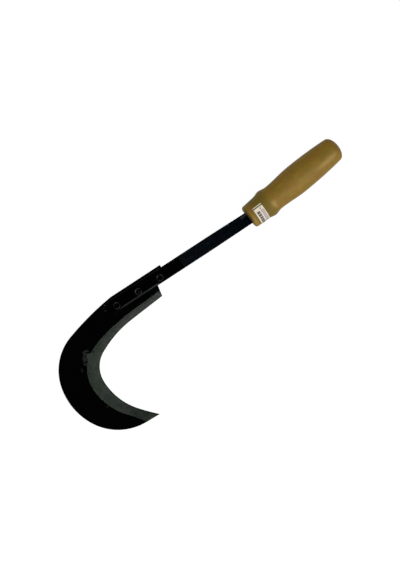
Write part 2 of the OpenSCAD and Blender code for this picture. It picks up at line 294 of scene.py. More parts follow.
class SICKLE_PG_blade(bpy.types.PropertyGroup):
    """Sizes and colours of the blade's finish."""

    edge_round: length_setting("Edge rounding", "Width of the rounding on the sheared edges", 0.3)
    lacquer: colour_setting("Lacquer", "Colour of the black dip lacquer", "#010102")
    # The rubbed lacquer colour also paints the glints near the bar's nose and on the rivets' rims
    rub_and_highlight: colour_setting(
        "Rubbed lacquer", "Colour of the steel where the lacquer is rubbed away", "#2f332f"
    )
    ground: colour_setting("Ground steel", "Colour of the ground bevel", "#677367")
    ground_pale: colour_setting(
        "Ground steel, pale", "Colour of the bevel's paler and less green clouds", "#6f726e"
    )
    rust: colour_setting("Rust", "Colour of the streak of rust on the bevel", "#7d5a30")
    cloud_size: length_setting("Clouds", "Size of the clouds on the ground bevel", 9)
    scratch_width: length_setting(
        "Scratch width", "Width of the slanting scratches that the belt leaves", 1.5
    )
    # The darker line along the cutting edge is painted shade
    edge_shade_width: length_setting("Hone width", "Width of the darker honed line at the cutting edge", 1.7)


class SICKLE_PG_shank(bpy.types.PropertyGroup):
    """Sizes and colours of the bar's finish."""

    edge_round: length_setting("Edge rounding", "Width of the rounded edges of the bar's nose", 0.25)
    # The rubbed line along the lower corner of the bar is a painted highlight
    highlight_width: length_setting(
        "Rub width", "Width of the rubbed line along the lower corner of the bar over the blade", 1.3
    )
    highlight_inset: length_setting(
        "Rub inset", "Distance from the side of the bar to the middle of the rubbed line", 1.5
    )
    dip_line: length_setting("Dip line", "How far past the heel rivet the lacquer reaches up the bar", 30.8)
    scale_colour: colour_setting(
        "Mill scale", "Colour of the scale on the bare bar beside the lacquer", "#05080c"
    )
    scale_far: colour_setting(
        "Mill scale at the handle", "Colour of the bluer scale on the bar beside the handle", "#000408"
    )
    # The worn steel colour paints the bar's glints and its highlight line
    wear_and_glint: colour_setting("Worn steel", "Colour of the steel where the bar is rubbed", "#3f4140")


class SICKLE_PG_rivets(bpy.types.PropertyGroup):
    """Sizes of the hammered rivets."""

    rim: length_setting("Rim", "Distance from the edge of a head to the crest of its rim", 0.8)
    dish: length_setting("Dish", "How far the flat middle of a head lies below the crest of its rim", 0.36)
    hammering: length_setting("Hammering", "How far the blows of the hammer push the head up and down", 0.22)
    facets: bpy.props.IntProperty(
        name="Hammer marks",
        description="Flats that the hammer leaves round each head",
        default=5,
        min=0,
        max=12,
    )


class SICKLE_PG_handle(bpy.types.PropertyGroup):
    """Sizes and colours of the turned handle."""

    ring_step: length_setting("Ring step", "Distance between the rings of the turned mesh", 1.3)
    unevenness: length_setting(
        "Sanding unevenness", "How far hand sanding dips into the turned surface", 0.16
    )
    wood: colour_setting("Wood", "Colour of the varnished wood", "#866b1c")
    wood_dark: colour_setting("Late wood", "Colour of the darker growth rings and blotches", "#715914")
    wood_red: colour_setting("Red wood", "Colour of the redder stains in the wood", "#855622")
    # The rubbed wood colour paints highlights on the varnish
    wood_highlight: colour_setting("Rubbed wood", "Colour of the wood where the varnish is rubbed", "#a08646")
    # The grimy wood colour paints shade on the collar, beside the label and along the top
    painted_shade: colour_setting("Grimy wood", "Colour of the wood that hands have darkened", "#675615")
    # This colour darkens the wood round the mouth of the slot
    dark_mouth_colour: colour_setting("Burnt wood", "Colour of the wood that the hot tang scorched", "#1a1207")
    dark_mouth_reach: length_setting(
        "Burnt depth", "How far the scorching reaches from the mouth along the handle", 3.9
    )
    ring_spacing: length_setting("Growth rings", "Distance between the growth rings of the wood", 3.2)


class SICKLE_PG_label(bpy.types.PropertyGroup):
    """Sizes and colours of the price label."""

    start: length_setting("Start", "Distance from the front face of the handle to the label", 9.25)
    width: length_setting("Width", "Width of the label along the handle", 11.7)
    length: length_setting("Length", "Length of the label round the handle", 32)
    first_angle: angle_setting(
        "First angle", "Where the label begins, as an angle round the handle from its top", 20
    )
    skew: angle_setting("Skew", "How far the label was stuck on askew", -3.4)
    glue: length_setting("Glue", "Thickness of the glue under the paper", 0.05)
    thickness: length_setting("Paper thickness", "Thickness of the label", 0.14)
    paper: colour_setting("Paper", "Colour of the paper at the margins", "#ddd3bd")
    panel: colour_setting("Panel", "Colour of the tinted panel under the print", "#d4c9c2")
    rule: colour_setting("Rule", "Colour of the printed rule near the first end", "#3a3526")
    ink: colour_setting("Ink", "Colour of the printed blocks", "#5e5b4f")
    pale_ink: colour_setting("Pale ink", "Colour of the finer printed dashes", "#8f837d")


class SICKLE_PG_stage(bpy.types.PropertyGroup):
    """Camera, lights and table."""

    aim: place_setting("Aim", "Place that the camera looks straight down on", 108, -34.5, 4)
    balance: place_setting(
        "Balance", "Place at which the sickle balances, which settles how it lies", 82, -17, 3
    )
    turn: angle_setting("Camera turn", "Turn of the camera about its line of sight", -33.15)
    frame_height: length_setting(
        "Frame height", "Height of a picture of 400 by 570 pixels at the blade", PICTURE_HEIGHT
    )
    lens: bpy.props.FloatProperty(
        name="Lens", description="Focal length in millimetres", default=100.0, unit="CAMERA"
    )
    key_power: power_setting(
        "Key light", "Power of the large soft light at the lower right of the picture", 16.5
    )
    overhead_power: power_setting(
        "Overhead light", "Power of the overhead light, which leaves no glare", 17.5
    )
    softbox_power: power_setting("Softbox", "Power of the softbox that shows only in reflections", 4.4)
    walls: share_setting("Walls", "Brightness of the studio's walls, where white is 1", 0.75)
    ceiling: share_setting("Ceiling", "Brightness of the studio's dark ceiling, where white is 1", 0.02)


# Helpers for modelling


def middle(node):
    """The middle of a CAD node's box."""
    low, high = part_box(node)
    return (low + high) / 2


def select_only(piece):
    """Leaves one object selected and active, out of edit mode."""
    if bpy.context.object and bpy.context.object.mode != "OBJECT":
        bpy.ops.object.mode_set(mode="OBJECT")
    bpy.ops.object.select_all(action="DESELECT")
    piece.select_set(True)
    bpy.context.view_layer.objects.active = piece


def select_where(kind, test):
    """In edit mode, selects the edges or faces that pass a test, and nothing else."""
    bpy.ops.mesh.select_mode(type=kind)
    bpy.ops.mesh.select_all(action="DESELECT")
    data = bpy.context.object.data
    mesh = bmesh.from_edit_mesh(data)
    elements = {"EDGE": mesh.edges, "FACE": mesh.faces}[kind]
    for element in elements:
        if test(element):
            element.select_set(True)
    mesh.select_flush_mode()
    bmesh.update_edit_mesh(data)


def node_copy(node, name, *materials):
    """A merged copy of a CAD node with its flat faces in one piece each, in edit mode."""
    data = frame["nodes"][node].data.copy()
    data.name = name
    data.materials.clear()
    for material in materials:
        data.materials.append(material)
    piece = bpy.data.objects.new(name, data)
    bpy.context.scene.collection.objects.link(piece)
    select_only(piece)
    bpy.ops.mesh.customdata_custom_splitnormals_clear()
    bpy.ops.object.mode_set(mode="EDIT")
    bpy.ops.mesh.select_all(action="SELECT")
    bpy.ops.mesh.remove_doubles(threshold=SAME_CORNER)
    bpy.ops.mesh.dissolve_limited(angle_limit=math.radians(0.1))
    bpy.ops.mesh.select_all(action="DESELECT")
    return piece


def turned_piece(name, profile, sides, frame_matrix):
    """A solid of revolution, pushed out ring by ring along Z and then carried to its own frame.

    The profile is a list of (height, radius) pairs, none with a radius of nothing."""
    bpy.ops.object.select_all(action="DESELECT")
    height, radius = profile[0]
    start = (0, 0, height)
    bpy.ops.mesh.primitive_circle_add(vertices=sides, radius=radius, fill_type="NGON", location=start)
    piece = bpy.context.object
    piece.name = piece.data.name = name
    bpy.ops.object.transform_apply()
    bpy.ops.object.mode_set(mode="EDIT")
    bpy.ops.mesh.select_mode(type="FACE")
    bpy.ops.mesh.select_all(action="SELECT")
    for next_height, next_radius in profile[1:]:
        rise = (0, 0, next_height - height)
        bpy.ops.mesh.extrude_region_move(TRANSFORM_OT_translate={"value": rise})
        share = next_radius / radius
        bpy.ops.transform.resize(value=(share, share, 1), center_override=(0, 0, next_height))
        height, radius = next_height, next_radius
    bpy.ops.mesh.select_all(action="SELECT")
    bpy.ops.mesh.normals_make_consistent(inside=False)
    bpy.ops.object.mode_set(mode="OBJECT")
    piece.matrix_world = frame_matrix
    bpy.ops.object.transform_apply()
    return piece


def apply_modifier(piece, kind, **settings):
    """Adds a modifier with its settings and applies it."""
    select_only(piece)
    modifier = piece.modifiers.new(kind.title(), kind)
    for name, value in settings.items():
        setattr(modifier, name, value)
    bpy.ops.object.modifier_apply(modifier=modifier.name)


def merge_slivers(piece):
    """Merges the corners that a rounding or a cut left almost on top of each other."""
    select_only(piece)
    bpy.ops.object.mode_set(mode="EDIT")
    bpy.ops.mesh.select_all(action="SELECT")
    bpy.ops.mesh.remove_doubles(threshold=SLIVER)
    bpy.ops.object.mode_set(mode="OBJECT")


def round_edges(piece, test, width):
    """In edit mode, rounds the edges that pass a test, and leaves edit mode."""
    select_where("EDGE", test)
    bpy.ops.mesh.bevel(offset=width, segments=2, affect="EDGES", clamp_overlap=True)
    merge_slivers(piece)


def smooth_shade(piece, degrees):
    """Smooth shading that keeps sharper corners, and keeps a large face flat beside a rounding."""
    select_only(piece)
    bpy.ops.object.shade_smooth_by_angle(angle=math.radians(degrees))
    apply_modifier(piece, "WEIGHTED_NORMAL", weight=100, keep_sharp=True)


def hand_over(piece, slot, *nodes):
    """Gives a finished piece its body, and hides the CAD nodes that it stands for; the slot is not used."""
    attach(piece, "root")
    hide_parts(*nodes)


# Helpers for materials


def add_node(tree, kind, inputs=(), **settings):
    """Adds a shader node with its settings and links, and returns it.

    Its inputs are given in the order that the node shows them in, or by name, so a Map Range
    takes a value, the two ends that it runs from and the two that it runs to. Each is a
    value, another node's output, or another node, which stands for its first output."""
    node = tree.nodes.new("ShaderNode" + kind)
    for name, value in settings.items():
        setattr(node, name, value)
    if isinstance(inputs, dict):
        pairs = [(node.inputs[name], value) for name, value in inputs.items()]
    else:
        pairs = zip([s for s in node.inputs if s.enabled], inputs)
    for socket, value in pairs:
        if isinstance(value, bpy.types.Node):
            value = next(s for s in value.outputs if s.enabled)
        if isinstance(value, bpy.types.NodeSocket):
            tree.links.new(value, socket)
        else:
            socket.default_value = value
    return node


def new_material(name):
    """An empty node material, and the function that adds a node to it."""
    material = bpy.data.materials.new(name)
    material.use_nodes = True
    material.node_tree.nodes.clear()
    return material, partial(add_node, material.node_tree)


def mark_share(add, place, marks, level, depth, softness=0.25):
    """How strongly a set of ragged oval marks shows at a place, from 0 to 1.

    The marks lie at a level and fade over a depth under it. They are laid on in order, and
    one with a share below nothing covers what is under it. The softness is the width of
    their rim as a share of their size."""
    raggedness = 1.4
    # The noise is a half on average, which puts the rim at 0.92 of a mark's size
    rim = 0.92 + raggedness / 2
    total = 0.0
    for mark in marks:
        oval = {
            "Vector": place,
            "Location": (mark.x * MM, mark.y * MM, level),
            "Rotation": (0, 0, math.radians(mark.degrees)),
            "Scale": (mark.half_length * MM, mark.half_width * MM, depth),
        }
        local = add("Mapping", oval, vector_type="TEXTURE")
        reach = add("VectorMath", [local], operation="LENGTH")
        crumbs = {"Vector": place, "Scale": 1 / (mark.half_width * MM), "Detail": 4.0, "Roughness": 0.7}
        ragged = add("TexNoise", crumbs)
        rough_reach = add("Math", (ragged, raggedness, reach), operation="MULTIPLY_ADD")
        inside = add("MapRange", (rough_reach, rim - softness / 2, rim + softness / 2, 1, 0))
        laid_on = (inside, mark.share, total)
        total = add("Math", laid_on, operation="MULTIPLY_ADD", use_clamp=True)
    return total


def black_lacquer(settings, name):
    """Black dip lacquer on carbon steel: deep black with faint orange peel, grey where it is rubbed and
    where glints are painted.
    """
    material, add = new_material(name)
    place = add("TexCoord").outputs["Object"]
    # Orange peel is about 1.5 mm from crest to crest, and the duller clouds about 20 mm
    peel = add("TexNoise", {"Vector": place, "Scale": 1 / (1.5 * MM), "Detail": 1.0})
    cloud = add("TexNoise", {"Vector": place, "Scale": 1 / (20 * MM), "Detail": 3.0})
    gloss = add("MapRange", (cloud, *NOISE_SPAN, 0.14, 0.22))
    # The rivets carry an attribute of painted glints on their rims; a piece without it has only the marks,
    # which are rubs and a few painted glints
    rim_glint = add("Attribute", attribute_name="rim_glint").outputs["Fac"]
    marked = mark_share(add, place, BLADE_MARKS, PLATE_TOP, 1.2 * MM)
    rub_and_highlight = add("Math", (marked, rim_glint), operation="ADD", use_clamp=True)
    shades = rgba(settings.lacquer), rgba(settings.rub_and_highlight)
    colour = add("Mix", (rub_and_highlight, *shades), data_type="RGBA")
    rough = add("Math", (rub_and_highlight, 0.3, gloss), operation="MULTIPLY_ADD")
    bump = add("Bump", {"Height": peel, "Strength": 0.25, "Distance": 0.04 * MM})
    look = {"Base Color": colour, "Roughness": rough, "Normal": bump, "Specular IOR Level": 0.28}
    shader = add("BsdfPrincipled", look)
    add("OutputMaterial", [shader])
    return material


def ground_steel(settings):
    """Carbon steel ground on a belt: dull greenish grey, cloudy, with fine slanting scratches."""
    material, add = new_material("belt_ground_steel")
    place = add("TexCoord").outputs["Object"]
    height = add("SeparateXYZ", [place]).outputs["Z"]
    along = add("UVMap", uv_map="Edge").outputs["UV"]
    from_heel, from_edge, _ = add("SeparateXYZ", [along]).outputs
    cloud = add("TexNoise", {"Vector": place, "Scale": 1 / settings.cloud_size, "Detail": 4.0})
    # Specks of about 1.5 mm show where the belt was worn
    specks = {"Vector": place, "Scale": 1 / (1.5 * MM), "Detail": 3.0, "Roughness": 0.7}
    speck = add("TexNoise", specks)

    # Each scratch runs for about 7 mm and slants across the bevel, as the belt did. Away
    # from the edge the scratches get fainter
    scratch_size = (7 * MM, settings.scratch_width, 1)
    belt = {"Vector": along, "Rotation": (0, 0, math.radians(52)), "Scale": scratch_size}
    slanting = add("Mapping", belt, vector_type="TEXTURE")
    scratch = add("TexNoise", {"Vector": slanting, "Scale": 1.0, "Detail": 3.0})
    # The noise is a half on average, so this is nothing on average
    uneven = add("MapRange", (scratch, 0, 1, -0.5, 0.5))
    depth = add("MapRange", (from_edge, 0, 7 * MM, 0.9, 0.4))
    scratched = add("Math", (uneven, depth), operation="MULTIPLY")
    speckled = add("Math", (speck, 0.5, scratched), operation="MULTIPLY_ADD")
    clouded = add("Math", (cloud, 0.45, speckled), operation="MULTIPLY_ADD")

    # Painted shade darkens the last third of the bevel, up to the point, and a line along the
    # cutting edge. A painted highlight brightens the last millimetre up to the lacquer
    tone = add("MapRange", (clouded, 0.2, 0.75, 0.5, 1.5))
    last_third = (from_heel, 160 * MM, 188 * MM, 1, 0.67)
    edge_shade = (from_edge, 0.3 * settings.edge_shade_width, settings.edge_shade_width, 0.4, 1)
    border_highlight = (height, PLATE_TOP - 0.36 * MM, PLATE_TOP - 0.1 * MM, 1, 1.12)
    for span, change in ((last_third, "SMOOTHSTEP"), (edge_shade, "LINEAR"), (border_highlight, "LINEAR")):
        factor = add("MapRange", span, interpolation_type=change)
        tone = add("Math", (tone, factor), operation="MULTIPLY")

    # Some clouds are less green, and the green tinge only begins a third of the way along
    cloudy = add("MapRange", (cloud, 0.52, 0.74, 0, 1))
    first_third = (from_heel, 60 * MM, 95 * MM, 0.8, 0)
    at_heel = add("MapRange", first_third, interpolation_type="SMOOTHSTEP")
    paleness = add("Math", (cloudy, at_heel), operation="MAXIMUM")
    shades = rgba(settings.ground), rgba(settings.ground_pale)
    steel = add("Mix", (paleness, *shades), data_type="RGBA")
    mark_depth = 3 * MM
    rust = mark_share(add, place, RUST_MARKS, PLATE_TOP, mark_depth)
    rusted = add("Mix", (rust, steel, rgba(settings.rust)), data_type="RGBA")
    toned = add("VectorMath", (rusted, tone), operation="SCALE")
    fleck = mark_share(add, place, BEVEL_MARKS, PLATE_TOP, mark_depth)
    colour = add("Mix", (fleck, toned, rgba(settings.lacquer)), data_type="RGBA")
    metal = add("Math", (1.0, fleck), operation="SUBTRACT")
    rough = add("MapRange", (cloud, *NOISE_SPAN, 0.6, 0.68))
    bump = add("Bump", {"Height": scratched, "Strength": 0.25, "Distance": 0.03 * MM})
    look = {"Base Color": colour, "Metallic": metal, "Roughness": rough, "Normal": bump}
    shader = add("BsdfPrincipled", look)
    add("OutputMaterial", [shader])
    return material


def dipped_bar(settings, lacquer):
    """Hot-rolled bar: black lacquer up to the dip line, then blue-black mill scale, with painted grey glints
    and a painted highlight line.
    """
    material, add = new_material("hot_rolled_bar_part_dipped")
    place = add("TexCoord").outputs["Object"]
    along, side, height = add("SeparateXYZ", [place]).outputs
    heel = middle("rivet_heel").x

    # The dip line wanders a little every 7 mm or so, and the lacquer thins out over 1.6 mm
    line = heel + settings.dip_line
    wander = add("TexNoise", {"Vector": place, "Scale": 1 / (7 * MM), "Detail": 2.0})
    shift = add("Math", (wander, 2.5 * MM, along), operation="MULTIPLY_ADD")
    bare = add("MapRange", (shift, line, line + 1.6 * MM, 0, 1))

    # The scale is mottled every 4 mm or so, and gets bluer towards the handle
    mottle = add("TexNoise", {"Vector": place, "Scale": 1 / (4 * MM), "Detail": 5.0})
    towards_handle = add("MapRange", (along, line, HANDLE_FRONT.x, 0, 1))
    shades = rgba(settings.scale_colour), rgba(settings.scale_far)
    scale_base = add("Mix", (towards_handle, *shades), data_type="RGBA")
    scale_shade = add("MapRange", (mottle, *NOISE_SPAN, 0.4, 1.6))
    scale = add("VectorMath", (scale_base, scale_shade), operation="SCALE")
    coated = add("Mix", (bare, rgba(lacquer), scale), data_type="RGBA")

    # The long corners are dull
    width = settings.highlight_width
    across = add("Math", [side], operation="ABSOLUTE")
    at_side = add("Math", (across, HALF_BAR, width), operation="COMPARE")
    at_top = add("Math", (height, BAR_TOP, 0.65 * width), operation="COMPARE")
    corner = add("Math", (at_side, at_top), operation="MULTIPLY")

    # A painted highlight runs as a grey line beside the lower one: it begins at the toe rivet, gets
    # stronger past the middle one and ends before the heel one. The places are shares of the way to that
    # rivet
    highlight_band = (side, settings.highlight_inset - HALF_BAR, width / 2)
    highlight_line = add("Math", highlight_band, operation="COMPARE")
    for start, end, before, after in ((0.19, 0.27, 0, 1), (0.65, 0.88, 0.38, 0.65), (0.9, 0.96, 1, 0)):
        change = add("MapRange", (along, start * heel, end * heel, before, after))
        highlight_line = add("Math", (highlight_line, change), operation="MULTIPLY")
    # The marks are painted glints and lighter patches, mixed in with the line in the worn steel colour
    marked = mark_share(add, place, BAR_MARKS, BAR_TOP, 3 * MM)
    wear_and_glint = add("Math", (at_top, highlight_line, marked), operation="MULTIPLY_ADD", use_clamp=True)
    colour = add("Mix", (wear_and_glint, coated, rgba(settings.wear_and_glint)), data_type="RGBA")
    face_rough = add("MapRange", (bare, 0, 1, 0.18, 0.3))
    rough = add("Math", (corner, 0.65, face_rough), operation="MULTIPLY_ADD")
    bump = add("Bump", {"Height": mottle, "Strength": 0.3, "Distance": 0.05 * MM})
    look = {"Base Color": colour, "Roughness": rough, "Normal": bump, "Specular IOR Level": 0.14}
    shader = add("BsdfPrincipled", look)
    add("OutputMaterial", [shader])
    return material


def varnished_wood(settings):
    """Turned hardwood under thin satin varnish: olive tan, with soft long grain and blotches."""
    material, add = new_material("varnished_turned_hardwood")
    place = add("TexCoord").outputs["Object"]
    own_frame = {"Vector": place, "Location": HANDLE_FRONT, "Rotation": (0, 0, HANDLE_CANT)}
    turned = add("Mapping", own_frame, vector_type="TEXTURE")
    along, side, _ = add("SeparateXYZ", [turned]).outputs

    # The heart of the tree lies outside the handle, so the growth rings run as shallow arcs.
    # The wave texture repeats every 0.314 of its unit
    heart = add("Mapping", {"Vector": turned, "Location": (0, -22 * MM, 34 * MM)})
    growth = {
        "Vector": heart,
        "Scale": 0.314 / settings.ring_spacing,
        "Distortion": 2.2,
        "Detail": 2.0,
        "Detail Scale": 0.6,
    }
    rings = add("TexWave", growth, wave_type="RINGS", rings_direction="X").outputs["Fac"]

    # Fibres are 30 mm long and 0.9 mm wide, flecks 2.4 mm, and blotches of stain 12 mm wide.
    # The wood itself turns from olive to tan every 4 mm or so, and slower along the grain
    fibre_scale = (1 / (30 * MM), 1 / (0.9 * MM), 1 / (0.9 * MM))
    fibres_at = add("Mapping", {"Vector": turned, "Scale": fibre_scale})
    fibres = add("TexNoise", {"Vector": fibres_at, "Scale": 1.0, "Detail": 4.0})
    flecks = {"Vector": turned, "Scale": 1 / (2.4 * MM), "Detail": 4.0, "Roughness": 0.7}
    fleck = add("TexNoise", flecks)
    long_place = add("Mapping", {"Vector": turned, "Scale": (0.6, 1, 1)})
    blotch = add("TexNoise", {"Vector": long_place, "Scale": 1 / (12 * MM), "Detail": 4.0})
    patch = add("TexNoise", {"Vector": long_place, "Scale": 1 / (4 * MM), "Detail": 5.0})
    darkness = fibres
    for pattern, strength in ((rings, 0.16), (fleck, 2.2), (blotch, 1.4)):
        darkness = add("Math", (pattern, strength, darkness), operation="MULTIPLY_ADD")
    late_wood = add("MapRange", (darkness, 1.72, 3.02, 0, 1))

    # The marks lie 15 mm over the handle's axis, and fade over 18 mm under that
    level, depth = 15 * MM, 18 * MM
    patchy = add("MapRange", (patch, 0.44, 0.68, 0, 0.52))
    stains = mark_share(add, turned, HANDLE_MARKS, level, depth, 0.8)
    red = add("Math", (patchy, stains), operation="MAXIMUM")
    # Painted highlights: paler patches of varnish where the light would glint
    rub_and_highlight = mark_share(add, turned, WOOD_HIGHLIGHTS, level, depth, 1.5)

    # Painted shade darkens the collar and the bead, and fades out at the waist
    on_collar, at_waist = (5 * MM, 13 * MM, 0, 0.9), (25 * MM, 36 * MM, 1, 0)
    begun = add("MapRange", (along, *on_collar), interpolation_type="SMOOTHSTEP")
    ended = add("MapRange", (along, *at_waist), interpolation_type="SMOOTHSTEP")
    painted_shade = add("Math", (begun, ended), operation="MULTIPLY")
    shade_marks = mark_share(add, turned, WOOD_SHADE_MARKS, level, depth, 1.2)
    shaded = add("Math", (painted_shade, shade_marks), operation="MAXIMUM")

    # The wood is darker round the mouth, a little off the middle
    behind_mouth = add("MapRange", (along, 0, settings.dark_mouth_reach, 1, 0))
    off_middle = add("Math", (side, 0.13 * HALF_BAR), operation="SUBTRACT")
    across = add("Math", [off_middle], operation="ABSOLUTE")
    beside = (across, 0.9 * HALF_BAR, 1.32 * HALF_BAR, 0.97, 0)
    beside_bar = add("MapRange", beside, interpolation_type="SMOOTHSTEP")
    dark_mouth = add("Math", (behind_mouth, beside_bar), operation="MULTIPLY")

    layers = (
        (late_wood, settings.wood_dark),
        (red, settings.wood_red),
        (shaded, settings.painted_shade),
        (rub_and_highlight, settings.wood_highlight),
        (dark_mouth, settings.dark_mouth_colour),
    )
    colour = rgba(settings.wood)
    for share, shade in layers:
        colour = add("Mix", (share, colour, rgba(shade)), data_type="RGBA")
    bump = add("Bump", {"Height": fibres, "Strength": 0.15, "Distance": 0.05 * MM})
    look = {"Base Color": colour, "Roughness": 0.6, "Normal": bump, "Specular IOR Level": 0.3}
    shader = add("BsdfPrincipled", look)
    add("OutputMaterial", [shader])
    return material


def printed_paper(settings):
    """Matt paper sticker, printed with a rule, plain blocks and plain dashes that say nothing."""
    material, add = new_material("printed_label_paper")
    # The map runs from 0 to 1 along the handle, and from the far end back to the first end
    unrolled = {
        "Vector": add("UVMap", uv_map="UVMap"),
        "Location": (0, settings.length, 0),
        "Scale": (settings.width, -settings.length, 1),
    }
    place = add("Mapping", unrolled)
    across, along, _ = add("SeparateXYZ", [place]).outputs
    # Paper fibres cloud the white every 0.8 mm or so
    fibre = add("TexNoise", {"Vector": place, "Scale": 1 / (0.8 * MM), "Detail": 4.0})
    shade = add("MapRange", (fibre, *NOISE_SPAN, 0.96, 1.03))
    colour = rgba(settings.paper)
    for block in LABEL_PRINT:
        wide = (across, (block.left + block.right) / 2 * MM, (block.right - block.left) / 2 * MM)
        long = (along, (block.near + block.far) / 2 * MM, (block.far - block.near) / 2 * MM)
        turns = (along, 1 / (block.pitch * MM), -block.near / block.pitch)
        printed = add("Math", wide, operation="COMPARE")
        inside = add("Math", long, operation="COMPARE")
        counted = add("Math", turns, operation="MULTIPLY_ADD")
        part_of_turn = add("Math", [counted], operation="FRACT")
        filled = add("Math", (part_of_turn, block.filled), operation="LESS_THAN")
        for limit in (inside, filled):
            printed = add("Math", (printed, limit), operation="MULTIPLY")
        ink = rgba(getattr(settings, block.ink))
        colour = add("Mix", (printed, colour, ink), data_type="RGBA")
    toned = add("VectorMath", (colour, shade), operation="SCALE")
    look = {"Base Color": toned, "Roughness": 0.75, "Specular IOR Level": 0.3}
    shader = add("BsdfPrincipled", look)
    add("OutputMaterial", [shader])
    return material


# The blade


def edge_line(data):
    """The cutting edge from the heel to the point, read off the top of its thin land, in the plane."""
    low, high = LAND_TOP
    land = [v.co for v in data.vertices if low < v.co.z < high]
    around = sorted(land, key=lambda p: math.atan2(p.y - HOOK_CENTRE.y, p.x - HOOK_CENTRE.x) % math.tau)
    line = [p.xy for p in around]
    return [p for k, p in enumerate(line) if k == 0 or (p - line[k - 1]).length > SAME_PLACE]


def grind_shift(out):
    """How much further into the plate the bevel reaches in a direction from the hook's middle."""
    degrees = math.degrees(math.atan2(out.y, out.x)) % 360
    for (before, first), (after, last) in zip(GRIND_REACH, GRIND_REACH[1:]):
        if before <= degrees < after:
            return (first + (last - first) * (degrees - before) / (after - before)) * MM
    return 0.0


def place_on_line(line, lengths, point):
    """Distance along a line of places to the one nearest a point, and distance from it."""
    best = (0.0, math.inf)
    for k in range(len(line) - 1):
        share = geometry.intersect_point_line(point, line[k], line[k + 1])[1]
        share = min(1.0, max(0.0, share))
        nearest = line[k].lerp(line[k + 1], share)
        distance = (point - nearest).length
        if distance < best[1]:
            best = (lengths[k] + share * (line[k + 1] - line[k]).length, distance)
    return best


def lay_edge_map(data):
    """A UV map in metres: U along the cutting edge from the heel, V away from it."""
    line = edge_line(data)
    lengths = [0.0]
    for a, b in zip(line, line[1:]):
        lengths.append(lengths[-1] + (b - a).length)
    places = [place_on_line(line, lengths, v.co.xy) for v in data.vertices]
    layer = data.uv_layers.new(name="Edge")
    for loop in data.loops:
        layer.data[loop.index].uv = places[loop.vertex_index]


class SICKLE_OT_blade(bpy.types.Operator):
    """Make the blade: the stamped plate with rounded edges and its ground bevel"""

    bl_idname = "sickle.blade"
    bl_label = "Blade"

    def execute(self, context):
        settings = context.scene.sickle_blade
        materials = black_lacquer(settings, "dipped_black_lacquer"), ground_steel(settings)
        piece = node_copy("blade", "blade_dressed", *materials)
        rivet_places = [middle(node).xy for node in RIVET_NODES]
        hole_reach, corner_angle = 5 * MM, math.radians(30)

        def ground(face):
            """The bevel slopes, and the plate lies flat."""
            return 0.5 < face.normal.z < 0.9999

        def wall(face):
            """A sheared wall stands upright and reaches the top of the plate."""
            return abs(face.normal.z) < 0.1 and max(v.co.z for v in face.verts) > 0.9 * PLATE_TOP

        def sheared(edge):
            """The border of a wall, or a sharp corner between two, unless it is a rivet's hole."""
            walls = [wall(f) for f in edge.link_faces]
            from_hole = min((v.co.xy - p).length for v in edge.verts for p in rivet_places)
            border = any(walls) and (not all(walls) or edge.calc_face_angle() > corner_angle)
            return from_hole > hole_reach and border

        select_where("FACE", ground)
        piece.active_material_index = 1
        bpy.ops.object.material_slot_assign()
        mesh = bmesh.from_edit_mesh(piece.data)
        for vertex in mesh.verts:
            if vertex.co.z > PLATE_TOP - SLIVER and any(ground(f) for f in vertex.link_faces):
                out = (vertex.co.xy - HOOK_CENTRE.xy).normalized()
                vertex.co.xy += out * grind_shift(out)
        bmesh.update_edit_mesh(piece.data)
        round_edges(piece, sheared, settings.edge_round)
        lay_edge_map(piece.data)
        smooth_shade(piece, 25)
        hand_over(piece, "blade_steel", "blade")
        return {"FINISHED"}


# The shank


class SICKLE_OT_shank(bpy.types.Operator):
    """Make the shank: the flat bar with its nose softened, and its tang"""

    bl_idname = "sickle.shank"
    bl_label = "Shank"

    def execute(self, context):
        settings = context.scene.sickle_shank
        material = dipped_bar(settings, context.scene.sickle_blade.lacquer)
        piece = node_copy("shank", "shank_dressed", material)
        nose_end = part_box("rivet_toe")[0].x
        above_blade = PLATE_TOP + 0.1 * MM
        corner_angle = math.radians(40)

        def on_nose(edge):
            placed = all(v.co.x < nose_end and v.co.z > above_blade for v in edge.verts)
            return placed and edge.calc_face_angle(0) > corner_angle

        # The long corners are round already, and what is inside the handle stays as it is
        round_edges(piece, on_nose, settings.edge_round)
        smooth_shade(piece, 32)
        hand_over(piece, "shank_steel", "shank")
        return {"FINISHED"}


# The rivets


def rivet_profile(node, settings):
    """Half section of a rivet as (height, radius): foot, body, and a rim round a flat dish."""
    low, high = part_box(node)
    axis = middle(node)
    under_head = (p for p in node_points(node) if p.z < BAR_TOP - 0.1 * MM)
    stem = sorted({(round(p.z, 6), round((p - axis).xy.length, 6)) for p in under_head})
    crest = (high.x - low.x) / 2 - settings.rim
    rise = high.z - BAR_TOP
    body = stem[-1][1]
    shoulder = [
        (BAR_TOP + rise * math.sin(angle), crest + settings.rim * math.cos(angle))
        for angle in map(math.radians, range(0, 91, 15))
    ]
    # The dish falls away from the crest over 1.8 times the rim's width, and is flat inside
    slope = 1.8 * settings.rim
    dish = [
        (high.z - settings.dish * (1 - math.cos(share * math.pi)) / 2, crest - slope * share)
        for share in (0.2, 0.4, 0.6, 0.8, 1.0)
    ]
    floor, floor_radius = dish[-1]
    flat = [(floor, floor_radius * share) for share in (0.7, 0.4, 0.1)]
    return [*stem, (BAR_TOP, body), *shoulder, *dish, *flat]


def rim_glint_share(side, arcs):
    """How strong the painted glint on a rivet's head is at a place, given in rim radii from its middle."""
    wear_and_glint, thinness = 0.0, 4.5
    for arc in arcs:
        away = math.degrees(math.atan2(side.y, side.x)) - arc.degrees
        turned = ((away + 180) % 360 - 180) / arc.half_width
        share = max(0.0, 1 - turned**2) * max(0.0, 1 - thinness * abs(side.length - arc.out))
        wear_and_glint = max(wear_and_glint, arc.share * share)
    return wear_and_glint


